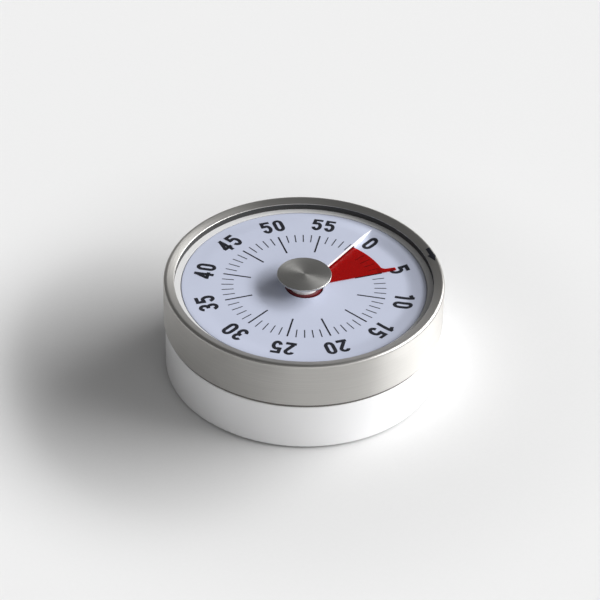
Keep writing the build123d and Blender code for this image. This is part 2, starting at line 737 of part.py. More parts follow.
train_wheel(
    "second_wheel", SECOND_TEETH, SECOND_MODULE, SECOND_PLACE, THIRD_DIRECTION,
    SECOND_WHEEL_Z, SECOND_WHEEL_T,
)
pinion_arbor(
    "second_pinion", MAIN_MODULE, SECOND_PLACE, SECOND_DIRECTION, MAIN_WHEEL_Z, MAIN_WHEEL_T
)
train_wheel(
    "third_wheel", THIRD_TEETH, THIRD_MODULE, THIRD_PLACE, ESCAPE_DIRECTION,
    THIRD_WHEEL_Z, THIRD_WHEEL_T,
)
pinion_arbor(
    "third_pinion", SECOND_MODULE, THIRD_PLACE, THIRD_DIRECTION, SECOND_WHEEL_Z, SECOND_WHEEL_T
)
pinion_arbor(
    "escape_pinion", THIRD_MODULE, ESCAPE_PLACE, ESCAPE_DIRECTION, THIRD_WHEEL_Z, THIRD_WHEEL_T
)

with BuildPart() as escape_wheel:
    with BuildSketch(Plane(origin=(ESCAPE_PLACE[0], ESCAPE_PLACE[1], ESCAPE_WHEEL_Z))):
        with BuildLine():
            Polyline(*saw_outline(ESCAPE_TEETH, ESCAPE_R, ESCAPE_ROOT_R, 0, ESCAPE_LEAN), close=True)
        make_face()
        Circle(THIN_ARBOR_R, mode=Mode.SUBTRACT)
    extrude(amount=ESCAPE_WHEEL_T)
save(escape_wheel.part, "escape_wheel")

# ---- verge --------------------------------------------------------------
back_to_escape = VERGE_DIRECTION + 180
pin_places = [
    stepped(ESCAPE_PLACE, PALLET_REACH, VERGE_DIRECTION + side * PALLET_SPAN) for side in (-1, 1)
]

with BuildPart() as verge_arbor:
    with BuildSketch(Plane(origin=(VERGE_PLACE[0], VERGE_PLACE[1], THIN_ARBOR_BOTTOM))):
        Circle(THIN_ARBOR_R)
    extrude(amount=THIN_ARBOR_TOP - THIN_ARBOR_BOTTOM)
save(verge_arbor.part, "verge_arbor")

with BuildPart() as pallet_lever:
    with BuildSketch(Plane.XY.offset(PALLET_Z)):
        for pin_place in pin_places:
            with BuildLine():
                Polyline(
                    stepped(VERGE_PLACE, PALLET_HUB_R, back_to_escape + 90),
                    stepped(VERGE_PLACE, PALLET_HUB_R, back_to_escape - 90),
                    pin_place,
                    close=True,
                )
            make_face()
        with Locations(VERGE_PLACE):
            Circle(PALLET_HUB_R)
            Circle(THIN_ARBOR_R, mode=Mode.SUBTRACT)
        with Locations(*pin_places):
            Circle(2 * PALLET_PIN_R)
    extrude(amount=PALLET_T)
    with BuildSketch(Plane.XY.offset(ESCAPE_WHEEL_Z)):
        with Locations(*pin_places):
            Circle(PALLET_PIN_R)
    extrude(amount=PALLET_Z - ESCAPE_WHEEL_Z)
save(pallet_lever.part, "pallet_lever")

with BuildPart() as balance_bar:
    bar_plane = Plane(
        origin=(VERGE_PLACE[0], VERGE_PLACE[1], BALANCE_Z),
        x_dir=(cos(radians(VERGE_DIRECTION)), sin(radians(VERGE_DIRECTION)), 0),
        z_dir=(0, 0, 1),
    )
    with BuildSketch(bar_plane):
        SlotOverall(BALANCE_L, BALANCE_W)
        Circle(PALLET_HUB_R)
        Circle(THIN_ARBOR_R, mode=Mode.SUBTRACT)
    extrude(amount=BALANCE_T)
save(balance_bar.part, "balance_bar")

# ---- bell and hammer ----------------------------------------------------
with BuildPart() as bell:
    with BuildSketch(Plane.XY.offset(BELL_BOTTOM)):
        Circle(BELL_R)
    extrude(amount=BELL_TOP - BELL_BOTTOM)
    fillet(faces().sort_by(Axis.Z)[0].edges(), BELL_FILLET)
    offset(amount=-BELL_T, openings=faces().sort_by(Axis.Z)[-1])
    with BuildSketch(Plane.XY.offset(BELL_BOTTOM)):
        Circle(BELL_SCREW_R + SLIDE_GAP)
    extrude(amount=BELL_T, mode=Mode.SUBTRACT)
save(bell.part, "bell")

with BuildPart() as bell_post:
    with BuildSketch(Plane.XY.offset(BELL_BOTTOM + BELL_T)):
        Circle(BELL_POST_R)
        Circle(BELL_SCREW_R, mode=Mode.SUBTRACT)
    extrude(amount=BACK_PLATE_Z - BELL_BOTTOM - BELL_T)
save(bell_post.part, "bell_post")

with BuildPart() as bell_screw:
    with BuildSketch(Plane.XY.offset(BELL_BOTTOM - BELL_HEAD_T)):
        Circle(BELL_HEAD_R)
    extrude(amount=BELL_HEAD_T)
    with BuildSketch(Plane.XY.offset(BELL_BOTTOM)):
        Circle(BELL_SCREW_R)
    extrude(amount=BELL_SCREW_L)
save(bell_screw.part, "bell_screw")

with BuildPart() as hammer_arbor:
    with BuildSketch(Plane(origin=(HAMMER_PLACE[0], HAMMER_PLACE[1], HAMMER_ARM_Z))):
        Circle(HAMMER_ARBOR_R)
    extrude(amount=FRONT_PLATE_Z + PLATE_T - HAMMER_ARM_Z - SLIDE_GAP)
save(hammer_arbor.part, "hammer_arbor")

head_place = polar(HAMMER_HEAD_PLACE_R, HAMMER_HEAD_PLACE)
with BuildPart() as hammer:
    with BuildSketch(Plane.XY.offset(HAMMER_ARM_Z)):
        with BuildLine():
            Line(HAMMER_PLACE, head_place)
        trace(line_width=HAMMER_ARM_W)
        with Locations(HAMMER_PLACE):
            Circle(HAMMER_HUB_R)
            Circle(HAMMER_ARBOR_R, mode=Mode.SUBTRACT)
    extrude(amount=HAMMER_ARM_T)
    with BuildSketch(Plane.XY.offset(HAMMER_HEAD_BOTTOM)):
        with Locations(head_place):
            Circle(HAMMER_HEAD_R)
    extrude(amount=HAMMER_ARM_Z + HAMMER_ARM_T - HAMMER_HEAD_BOTTOM)
save(hammer.part, "hammer")

tail_tip = polar(CAM_R + HAMMER_TAIL_W, HAMMER_DIRECTION)
with BuildPart() as hammer_tail:
    with BuildSketch(Plane.XY.offset(HAMMER_TAIL_Z)):
        with BuildLine():
            Line(HAMMER_PLACE, tail_tip)
        trace(line_width=HAMMER_TAIL_W)
        with Locations(HAMMER_PLACE):
            Circle(HAMMER_HUB_R)
            Circle(HAMMER_ARBOR_R, mode=Mode.SUBTRACT)
    extrude(amount=HAMMER_TAIL_T)
save(hammer_tail.part, "hammer_tail")
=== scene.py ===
import json
import math

import bmesh
import bpy
from mathutils import Matrix, Vector


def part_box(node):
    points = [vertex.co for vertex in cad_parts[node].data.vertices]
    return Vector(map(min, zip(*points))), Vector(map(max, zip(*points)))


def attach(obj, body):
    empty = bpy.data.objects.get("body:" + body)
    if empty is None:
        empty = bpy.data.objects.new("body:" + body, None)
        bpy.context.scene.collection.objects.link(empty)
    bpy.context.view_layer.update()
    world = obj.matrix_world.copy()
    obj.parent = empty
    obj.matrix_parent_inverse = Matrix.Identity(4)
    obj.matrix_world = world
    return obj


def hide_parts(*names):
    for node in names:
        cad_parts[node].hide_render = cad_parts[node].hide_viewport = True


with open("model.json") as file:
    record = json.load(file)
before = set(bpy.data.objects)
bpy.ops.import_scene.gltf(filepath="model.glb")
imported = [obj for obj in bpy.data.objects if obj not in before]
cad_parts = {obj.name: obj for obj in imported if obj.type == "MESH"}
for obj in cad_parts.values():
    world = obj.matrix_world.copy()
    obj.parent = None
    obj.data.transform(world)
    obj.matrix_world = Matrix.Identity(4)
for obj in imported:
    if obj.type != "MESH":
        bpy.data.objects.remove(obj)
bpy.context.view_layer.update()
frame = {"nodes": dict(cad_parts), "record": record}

MM = 0.001
TURN = 2 * math.pi


# ---- sizes read from the frame ------------------------------------------
def spread(node):
    """Smallest and largest radius of a CAD node about the timer's axis."""
    radii = [math.hypot(v.co.x, v.co.y) for v in frame["nodes"][node].data.vertices]
    return min(radii), max(radii)


RING_LOW, RING_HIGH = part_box("steel_ring")
RING_R = RING_HIGH.x
LIP_R = spread("steel_ring")[0]
RING_WALL = 0.8 * MM
LIP_EDGE_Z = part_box("lip_gasket")[1].z
LIP_DROP = 0.65 * MM
LIP_CREST_R = RING_R - 1.0 * MM
LIP_FILLET = 0.8 * MM
LIP_BEAD = 0.2 * MM
LIP_SOFTEN = 1.2 * MM
RING_FOOT_FILLET = 0.4 * MM
# Size of the dark ring painted into the groove under the steel ring as shade.
GAP_SHADE_INSET, GAP_SHADE_H = 0.25 * MM, 0.6 * MM
GAP_SHADE_DEPTH = 1.1 * MM

COUPLING = {c["joint"]: c["ratio"] for c in frame["record"]["behaviour"]["couplings"]}
PITCH = COUPLING["red_disc_rise"] * TURN
DIAL_HOLE_R, DIAL_R = spread("dial")
DIAL_T = 0.8 * MM
DIAL_TURN = math.radians(359.9)
DIAL_Z = 26.3 * MM
DIAL_RIM_Z = 27.3 * MM
DIAL_RIM_R = 34.3 * MM
SLIT_END_R = 29.0 * MM
SLIT_LEAN = math.radians(6.5)
WALL_IN_R, WALL_OUT_R = spread("step_wall")
WALL_T = 0.5 * MM
WALL_LOW_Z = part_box("step_wall")[0].z

FILM_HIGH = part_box("red_disc")[1]
REST_ANGLE = math.radians(30)
FILM_TURN = math.radians(364)
FILM_IN_R, TAB_R = spread("red_disc")
FILM_T = 0.2 * MM
FILM_R = 24.2 * MM
FILM_Z = FILM_HIGH.z - FILM_T - PITCH * REST_ANGLE / TURN
TAB_OVERLAP = 1.2 * MM
TAB_TIP_W, TAB_NECK_W, TAB_ROOT_W = 1.2 * MM, 1.35 * MM, 2.1 * MM

KNOB_LOW, KNOB_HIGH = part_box("knob_cap")
KNOB_R = KNOB_HIGH.x
KNOB_UNDER_R, KNOB_UNDER_RISE = 4.6 * MM, 0.4 * MM
KNOB_RIM_LOW, KNOB_RIM_HIGH, KNOB_DOME = 0.72 * MM, 0.12 * MM, 0.03 * MM

INK_T = 0.035 * MM
INK_SUNK = 0.01 * MM
TICK_OUT_R = 23.5 * MM
LONG_IN_R, LONG_W = 15.45 * MM, 0.45 * MM
SHORT_IN_R, SHORT_W = 20.1 * MM, 0.28 * MM
DIGIT_R = 28.9 * MM
DIGIT_H = 5.7 * MM
DIGIT_W = 3.0 * MM
DIGIT_STROKE = 1.05 * MM
DIGIT_GAP = 0.75 * MM


# ---- mesh helpers -------------------------------------------------------
def piece(name, mesh, body, slot_name, *nodes):
    """Object for a finished mesh, riding on a body and standing for CAD nodes."""
    made = bpy.data.objects.new(name, mesh)
    bpy.context.scene.collection.objects.link(made)
    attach(made, body)
    if nodes:
        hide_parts(*nodes)
    return made


def finish_mesh(bm, name, sharp=35):
    """Mesh from a bmesh with outward normals, smooth but for edges over sharp degrees."""
    bmesh.ops.recalc_face_normals(bm, faces=bm.faces)
    for face in bm.faces:
        face.smooth = True
    for edge in bm.edges:
        if len(edge.link_faces) == 2 and edge.calc_face_angle() > math.radians(sharp):
            edge.smooth = False
    mesh = bpy.data.meshes.new(name)
    bm.to_mesh(mesh)
    bm.free()
    return mesh


def rounded(points, radii, steps=6):
    """Closed outline with its corners rounded; a radius of 0 keeps a corner."""
    made = []
    count = len(points)
    for i, (corner, radius) in enumerate(zip(points, radii)):
        here = Vector(corner)
        if radius == 0:
            made.append(here)
            continue
        before = (Vector(points[i - 1]) - here).normalized()
        after = (Vector(points[(i + 1) % count]) - here).normalized()
        half = before.angle(after) / 2
        reach = radius / math.tan(half)
        centre = here + (before + after).normalized() * radius / math.sin(half)
        start, end = here + before * reach - centre, here + after * reach - centre
        sweep = start.angle_signed(end)
        for k in range(steps + 1):
            made.append(centre + Matrix.Rotation(-sweep * k / steps, 2) @ start)
    return [(p.x, p.y) for p in made]


def lathe(name, outline, segments=288):
    """Closed ring or disc turned about Z from (radius, z) points."""
    bm = bmesh.new()
    rings = []
    for r, z in outline:
        if r < 1e-7:
            rings.append([bm.verts.new((0, 0, z))] * segments)
            continue
        rings.append(
            [
                bm.verts.new((r * math.cos(TURN * k / segments), r * math.sin(TURN * k / segments), z))
                for k in range(segments)
            ]
        )
    count = len(rings)
    for i in range(count):
        low, high = rings[i], rings[(i + 1) % count]
        for k in range(segments):
            n = (k + 1) % segments
            corners = list(dict.fromkeys((low[k], low[n], high[n], high[k])))
            if len(corners) > 2:
                bm.faces.new(corners)
    return finish_mesh(bm, name)


def ramp(name, outline, start, turn, segments=360):
    """Solid swept clockwise up the dial's ramp; outline holds (radius, height at 0)."""
    bm = bmesh.new()
    rows = []
    for k in range(segments + 1):
        angle = start + turn * k / segments
        lift = PITCH * angle / TURN
        rows.append(
            [bm.verts.new((r * math.sin(angle), r * math.cos(angle), z + lift)) for r, z in outline]
        )
    count = len(outline)
    for low, high in zip(rows, rows[1:]):
        for i in range(count):
            n = (i + 1) % count
            bm.faces.new((low[i], low[n], high[n], high[i]))
    bm.faces.new(rows[0])
    bm.faces.new(list(reversed(rows[-1])))
    return finish_mesh(bm, name)


def slit_lead(radius):
    """Dial angle of the slanted slit at a radius."""
    return math.asin(DIAL_HOLE_R * math.sin(SLIT_LEAN) / radius) - SLIT_LEAN


def sheet_height(radius, angle):
    """Height of the dial's top: a ramp inside the slit's end, easing to the flat rim."""
    share = min(max((DIAL_RIM_R - radius) / (DIAL_RIM_R - SLIT_END_R), 0), 1)
    share = share * share * (3 - 2 * share)
    return DIAL_RIM_Z + (DIAL_Z + PITCH * angle / TURN - DIAL_RIM_Z) * share


def dial_height(x, y):
    """Height of the dial's top surface at a point."""
    radius = math.hypot(x, y)
    angle = math.atan2(x, y)
    if angle < slit_lead(radius):
        angle += TURN
    return sheet_height(radius, angle)


def lip_height(x, y):
    """Height of the lip at a point: round outer corner, level crest, then the inward slope."""
    radius = math.hypot(x, y)
    over = radius - (RING_R - LIP_FILLET)
    if over > 0:
        return RING_HIGH.z - LIP_FILLET + math.sqrt(max(LIP_FILLET ** 2 - over ** 2, 0))
    return RING_HIGH.z - LIP_DROP * max(LIP_CREST_R - radius, 0) / (LIP_CREST_R - LIP_R)


def print_patch(bm, outline, height):
    """Thin inked patch over a surface; outline is a list of quads' side points (left, right)."""
    rows = []
    for left, right in outline:
        row = []
        for x, y in (left, right):
            z = height(x, y)
            row += [bm.verts.new((x, y, z - INK_SUNK)), bm.verts.new((x, y, z + INK_T))]
        rows.append(row)
    closed = outline[0] == outline[-1]
    if closed:
        for v in rows[-1]:
            bm.verts.remove(v)
        rows[-1] = rows[0]
    for a, b in zip(rows, rows[1:]):
        bm.faces.new((a[1], b[1], b[3], a[3]))
        bm.faces.new((a[0], a[2], b[2], b[0]))
        bm.faces.new((a[0], b[0], b[1], a[1]))
        bm.faces.new((a[2], a[3], b[3], b[2]))
    if not closed:
        bm.faces.new((rows[0][0], rows[0][1], rows[0][3], rows[0][2]))
        bm.faces.new((rows[-1][0], rows[-1][2], rows[-1][3], rows[-1][1]))


# ---- case pieces --------------------------------------------------------
def make_steel_ring():
    """Rolled and turned-in ring: soft outer corner, beaded inner edge."""
    inner = RING_R - RING_WALL
    outline = [
        (inner, RING_LOW.z),
        (RING_R, RING_LOW.z),
        (RING_R, RING_HIGH.z),
        (LIP_CREST_R, RING_HIGH.z),
        (LIP_R, RING_HIGH.z - LIP_DROP),
        (LIP_R, LIP_EDGE_Z),
        (inner, LIP_EDGE_Z),
    ]
    radii = [0.1 * MM, RING_FOOT_FILLET, LIP_FILLET, LIP_SOFTEN, LIP_BEAD, 0.15 * MM, 0]
    mesh = lathe("steel_ring_shell", rounded(outline, radii))
    for face in mesh.polygons:
        if face.center.z > RING_HIGH.z - LIP_FILLET:
            face.material_index = 1
    return piece("steel_ring_shell", mesh, "case", "brushed_steel", "steel_ring")


def make_gap_seal():
    """Painted shade: a dark ring set in the groove between the steel ring and the base, standing for
    the shadow in the gap.
    """
    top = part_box("base_shell")[1].z
    base_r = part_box("base_shell")[1].x
    inner, outer = base_r - GAP_SHADE_DEPTH, base_r - GAP_SHADE_INSET
    outline = [(inner, top), (outer, top), (outer, top + GAP_SHADE_H), (inner, top + GAP_SHADE_H)]
    radii = [0, 0, 0.08 * MM, 0.08 * MM]
    return piece("painted_gap_shade", lathe("painted_gap_shade", rounded(outline, radii, 3)), "case", "black_rubber")


def quarter(radius, steps=4):
    """Insets and drops of a quarter-round edge, from the side to the top."""
    turns = [math.pi / 2 * k / steps for k in range(steps + 1)]
    return [(radius * (1 - math.sin(a)), radius * (1 - math.cos(a))) for a in reversed(turns)]


def make_dial():
    """Dial sheet: slit edges a step apart near the hub, flat at the rim, edges softened."""
    stations = 40
    radii = [DIAL_HOLE_R + (DIAL_R - DIAL_HOLE_R) * k / stations for k in range(stations + 1)]
    corner = quarter(0.08 * MM)
    profile = [(DIAL_HOLE_R + inset, drop) for inset, drop in corner]
    profile += [(r, 0) for r in radii[1:-1]]
    profile += [(DIAL_R - inset, drop) for inset, drop in reversed(corner)]
    split = len(profile)
    profile += [(r, DIAL_T) for r in reversed(radii)]
    bm = bmesh.new()
    rows = []
    segments = 480
    for k in range(segments + 1):
        row = []
        for r, drop in profile:
            angle = DIAL_TURN * k / segments + slit_lead(r)
            z = sheet_height(r, angle) - drop
            row.append(bm.verts.new((r * math.sin(angle), r * math.cos(angle), z)))
        rows.append(row)
    for low, high in zip(rows, rows[1:]):
        for i in range(len(profile)):
            n = (i + 1) % len(profile)
            bm.faces.new((low[i], low[n], high[n], high[i]))
    extra = len(corner) - 1
    for row in (rows[0], rows[-1]):
        top, under = row[:split], row[split:][::-1]
        under = [under[0]] * extra + under + [under[-1]] * extra
        pairs = list(zip(top, under))
        for (a, b), (c, d) in zip(pairs, pairs[1:]):
            bm.faces.new(list(dict.fromkeys((a, c, d, b)))).material_index = 1
    return piece("dial_sheet", finish_mesh(bm, "dial_sheet"), "case", "dial_white", "dial")


def make_step_wall():
    """Upright wall that closes the step under the dial's high edge, outside the film."""
    bm = bmesh.new()
    rows = []
    stations = 24
    for k in range(stations + 1):
        r = WALL_IN_R + (WALL_OUT_R - WALL_IN_R) * k / stations
        angle = DIAL_TURN + slit_lead(r)
        high = sheet_height(r, angle) - DIAL_T
        front = Vector((r * math.sin(angle), r * math.cos(angle)))
        back = front - Vector((math.cos(SLIT_LEAN), math.sin(SLIT_LEAN))) * WALL_T
        corners = (front, WALL_LOW_Z), (front, high), (back, high), (back, WALL_LOW_Z)
        rows.append([bm.verts.new((place.x, place.y, z)) for place, z in corners])
    for low, high in zip(rows, rows[1:]):
        for i in range(4):
            n = (i + 1) % 4
            bm.faces.new((low[i], low[n], high[n], high[i]))
    bm.faces.new(rows[0])
    bm.faces.new(list(reversed(rows[-1])))
    mesh = finish_mesh(bm, "step_closing_wall")
    return piece("step_closing_wall", mesh, "case", "dial_white", "step_wall")


def make_red_film():
    """Thin red film on the ramp, with the pointer tab on its leading edge."""
    top = FILM_Z + FILM_T
    outline = [(FILM_IN_R, FILM_Z), (FILM_R, FILM_Z), (FILM_R, top), (FILM_IN_R, top)]
    mesh = ramp("red_film", outline, REST_ANGLE - FILM_TURN, FILM_TURN)
    bm = bmesh.new()
    bm.from_mesh(mesh)
    along = Vector((math.sin(REST_ANGLE), math.cos(REST_ANGLE)))
    across = Vector((-along.y, along.x))
    shape = [
        (FILM_R - TAB_OVERLAP, 0),
        (TAB_R, 0),
        (TAB_R, TAB_TIP_W),
        (FILM_R + 0.9 * MM, TAB_NECK_W),
        (FILM_R - 0.1 * MM, TAB_ROOT_W),
        (FILM_R - TAB_OVERLAP, TAB_ROOT_W),
    ]
    low, high = [], []
    for out, side in rounded(shape, [0, 0.2 * MM, 0.3 * MM, 0.6 * MM, 0, 0], 4):
        place = along * out + across * side
        z = FILM_Z + PITCH * math.atan2(place.x, place.y) / TURN
        low.append(bm.verts.new((place.x, place.y, z)))
        high.append(bm.verts.new((place.x, place.y, z + FILM_T)))
    bm.faces.new(low)
    bm.faces.new(list(reversed(high)))
    for i in range(len(low)):
        n = (i + 1) % len(low)
        bm.faces.new((low[i], low[n], high[n], high[i]))
    return piece("red_film", finish_mesh(bm, "red_film"), "red_disc", "red_film", "red_disc")


def make_knob():
    """Spun disc: faint dome, rolled rim, tapered underside."""
    top, low = KNOB_HIGH.z, KNOB_LOW.z
    outline = [
        (0, low + KNOB_UNDER_RISE),
        (KNOB_UNDER_R, low),
        (KNOB_R, top - KNOB_RIM_LOW),
        (KNOB_R, top - KNOB_RIM_HIGH),
        (KNOB_R * 0.6, top - KNOB_DOME),
        (0, top),
    ]
    radii = [0, 0.1 * MM, 0.12 * MM, 0.14 * MM, 0, 0]
    mesh = lathe("knob_disc", rounded(outline, radii, 8), 192)
    return piece("knob_disc", mesh, "knob", "brushed_steel", "knob_cap")


# ---- printed marks ------------------------------------------------------
def polar_strip(bm, inner, outer, width, degrees, steps=4):
    """Radial tick of constant width."""
    angle = math.radians(degrees)
    along = Vector((math.sin(angle), math.cos(angle)))
    across = Vector((along.y, -along.x)) * width / 2
    rows = []
    for k in range(steps + 1):
        middle = along * (inner + (outer - inner) * k / steps)
        rows.append((tuple(middle - across), tuple(middle + across)))
    print_patch(bm, rows, dial_height)


def arc(cx, cy, rx, ry, start, end, steps=14):
    """Points on an ellipse, degrees counter-clockwise from +X."""
    angles = [math.radians(start + (end - start) * k / steps) for k in range(steps + 1)]
    return [(cx + rx * math.cos(a), cy + ry * math.sin(a)) for a in angles]


def glyph_strokes(digit, w, h, s):
    """Centre lines of a bold upright numeral in a w by h box, stroke width s."""
    left, right, low, high = s / 2, w - s / 2, s / 2, h - s / 2
    mid = w / 2
    rx = (right - left) / 2
    if digit == "0":
        ry = rx * 1.25
        ring = arc(mid, high - ry, rx, ry, 0, 180) + arc(mid, low + ry, rx, ry, 180, 360)
        return [ring + ring[:1]]
    if digit == "1":
        stem = mid + s * 0.35
        return [[(stem, 0), (stem, h)], [(stem, h - s * 0.62), (left - s * 0.1, h - s * 1.35)]]
    if digit == "2":
        ry = rx * 1.08
        top = arc(mid, high - ry, rx, ry, 172, -28)
        return [top + [(left + s * 0.25, low + s * 0.45)], [(0, low), (w, low)]]
    if digit == "3":
        ry_top = (high - low) * 0.235
        ry_low = (high - low) * 0.265
        waist = high - 2 * ry_top
        top = arc(mid, high - ry_top, rx * 0.94, ry_top, 168, -90)
        bottom = arc(mid, low + ry_low, rx, ry_low, 90, -168)
        return [top, bottom, [(mid - s * 0.35, waist), (mid, waist)]]
    if digit == "4":
        bar = h * 0.29
        stem = right - s * 0.45
        return [[(stem, 0), (stem, h)], [(stem, h - s * 0.5), (left * 0.8, bar)], [(0, bar), (w, bar)]]
    ry = (high - low) * 0.32
    bowl = arc(mid, low + ry, rx, ry, 128, -165, 18)
    flag = [(left + s * 0.12, high), (w - s * 0.12, high)]
    neck = [(left + s * 0.12, high + s * 0.5), (left, low + ry * 1.55)]
    return [flag, neck, bowl]


def ribbon(points, width):
    """Left and right side points of a stroke along points, mitred."""
    closed = points[0] == points[-1]
    path = [Vector(p) for p in points]
    sides = []
    for i, here in enumerate(path):
        before = path[i - 1] if i else (path[-2] if closed else None)
        after = path[i + 1] if i + 1 < len(path) else (path[1] if closed else None)
        runs = [(here - before).normalized()] if before is not None else []
        runs += [(after - here).normalized()] if after is not None else []
        along = sum(runs, Vector((0, 0))).normalized()
        normal = Vector((-along.y, along.x))
        reach = width / 2 / max(normal.dot(Vector((-runs[0].y, runs[0].x))), 0.5)
        sides.append((tuple(here + normal * reach), tuple(here - normal * reach)))
    if closed:
        sides[-1] = sides[0]
    return sides


def resampled(points, step=0.3 * MM):
    """The same path with extra points, so that a stroke follows the curved sheet."""
    made = [points[0]]
    for (ax, ay), (bx, by) in zip(points, points[1:]):
        parts = max(1, math.ceil(math.hypot(bx - ax, by - ay) / step))
        made += [(ax + (bx - ax) * k / parts, ay + (by - ay) * k / parts) for k in range(1, parts)]
        made.append((bx, by))
    return made


def place_label(bm, text, degrees, radius, height, width, stroke, gap):
    """Numerals upright on a radius, tops outward."""
    total = len(text) * width + (len(text) - 1) * gap
    angle = math.radians(degrees)
    out = Vector((math.sin(angle), math.cos(angle)))
    side = Vector((out.y, -out.x))
    for i, digit in enumerate(text):
        shift = i * (width + gap) - total / 2
        for line in glyph_strokes(digit, width, height, stroke):
            rows = []
            for pair in ribbon(resampled(line), stroke):
                rows.append(
                    tuple(
                        tuple(out * (radius - height / 2 + y) + side * (shift + x))
                        for x, y in pair
                    )
                )
            if len(rows) > 1:
                print_patch(bm, rows, dial_height)


def make_scale():
    """Sixty ticks, long ones each five minutes."""
    bm = bmesh.new()
    for minute in range(60):
        if minute == 0:
            continue
        if minute % 5:
            polar_strip(bm, SHORT_IN_R, TICK_OUT_R, SHORT_W, minute * 6)
        else:
            polar_strip(bm, LONG_IN_R, TICK_OUT_R, LONG_W, minute * 6, 6)
    return piece("minute_ticks", finish_mesh(bm, "minute_ticks"), "case", "black_ink")


def make_numerals():
    """The twelve numbers; the 0 stands just clockwise of the step."""
    bm = bmesh.new()
    for minute in range(0, 60, 5):
        degrees = minute * 6 if minute else 0.3
        place_label(bm, str(minute), degrees, DIGIT_R, DIGIT_H, DIGIT_W, DIGIT_STROKE, DIGIT_GAP)
    return piece("numerals", finish_mesh(bm, "numerals"), "case", "black_ink")


def make_arrow():
    """Winding arrow on the lip, pointing clockwise."""
    bm = bmesh.new()
    middle = RING_R * 0.968
    body = [(25.2 + 0.9 * k, 0.6 * MM) for k in range(6)]
    head = [(29.7 + 0.95 * k, (1.25 - 0.243 * k) * MM) for k in range(6)]
    columns = 8
    for part in (body, head):
        for c in range(columns):
            rows = []
            for degrees, side in part:
                angle = math.radians(degrees)
                out = Vector((math.sin(angle), math.cos(angle)))
                outer, inner = (middle + side * (1 - 2 * k / columns) for k in (c, c + 1))
                rows.append((tuple(out * outer), tuple(out * inner)))
            print_patch(bm, rows, lip_height)
    return piece("lip_arrow", finish_mesh(bm, "lip_arrow"), "case", "black_ink")


# ---- materials ----------------------------------------------------------
class Nodes:
    """Short way to build one material's node tree."""

    def __init__(self, name):
        self.material = bpy.data.materials.new(name)
        self.material.use_nodes = True
        self.tree = self.material.node_tree
        self.tree.nodes.clear()
        self.shader = self.add("ShaderNodeBsdfPrincipled")
        self.output = self.add("ShaderNodeOutputMaterial")
        self.put(self.output, 0, self.shader.outputs[0])
        self.place = self.add("ShaderNodeTexCoord").outputs["Object"]

    def add(self, kind, **settings):
        node = self.tree.nodes.new(kind)
        for key, value in settings.items():
            setattr(node, key, value)
        return node

    def put(self, node, key, value):
        """Set a socket, or link another socket to it."""
        socket = node.inputs[key]
        if isinstance(value, bpy.types.NodeSocket):
            self.tree.links.new(value, socket)
        else:
            socket.default_value = value

    def math(self, operation, *values):
        node = self.add("ShaderNodeMath", operation=operation)
        for i, value in enumerate(values):
            self.put(node, i, value)
        return node.outputs[0]

    def noise(self, vector, scale, detail=3.0, roughness=0.5):
        node = self.add("ShaderNodeTexNoise")
        self.put(node, "Vector", vector)
        for key, value in (("Scale", scale), ("Detail", detail), ("Roughness", roughness)):
            self.put(node, key, value)
        return node.outputs[0]

    def stretch(self, value, to_low, to_high):
        """Map noise, which mostly stays between 0.3 and 0.7, onto a range."""
        node = self.add("ShaderNodeMapRange")
        for key, item in enumerate((value, 0.3, 0.7, to_low, to_high)):
            self.put(node, key, item)
        return node.outputs[0]

    def mix(self, factor, first, second):
        node = self.add("ShaderNodeMix", data_type="RGBA")
        self.put(node, 0, factor)
        self.put(node, 6, first)
        self.put(node, 7, second)
        return node.outputs[2]

    def join(self, x, y, z):
        node = self.add("ShaderNodeCombineXYZ")
        for i, value in enumerate((x, y, z)):
            self.put(node, i, value)
        return node.outputs[0]

    def round_coordinates(self):
        """Angle in turns, radius and height, from the object's own axes."""
        parts = self.add("ShaderNodeSeparateXYZ")
        self.put(parts, 0, self.place)
        x, y, z = parts.outputs
        angle = self.math("DIVIDE", self.math("ARCTAN2", y, x), TURN)
        squares = self.math("ADD", self.math("MULTIPLY", x, x), self.math("MULTIPLY", y, y))
        return angle, self.math("SQRT", squares), z

    def bump(self, height, strength, distance):
        node = self.add("ShaderNodeBump")
        self.put(node, "Strength", strength)
        self.put(node, "Distance", distance)
        self.put(node, "Height", height)
        self.put(self.shader, "Normal", node.outputs[0])

    def let_through(self, tint, share):
        """Let a tinted share of the light pass straight through the surface."""
        clear = self.add("ShaderNodeBsdfTransparent")
        self.put(clear, 0, tint)
        blend = self.add("ShaderNodeMixShader")
        self.put(blend, 0, share)
        self.put(blend, 1, self.shader.outputs[0])
        self.put(blend, 2, clear.outputs[0])
        self.put(self.output, 0, blend.outputs[0])

    def set(self, **values):
        for key, value in values.items():
            self.put(self.shader, key.replace("_", " "), value)


def gray(value):
    return (value, value, value, 1)


def tinted(tone, factor):
    """A tone made darker or lighter, as an opaque colour."""
    return tuple(min(part * factor, 1) for part in tone) + (1,)


# Brushing direction in turns. 0.25 is exactly circular; the knob's is 14 degrees off it,
# set so that its bright streak points the right way.
CIRCULAR_BRUSH = 0.25
KNOB_BRUSH = 0.29


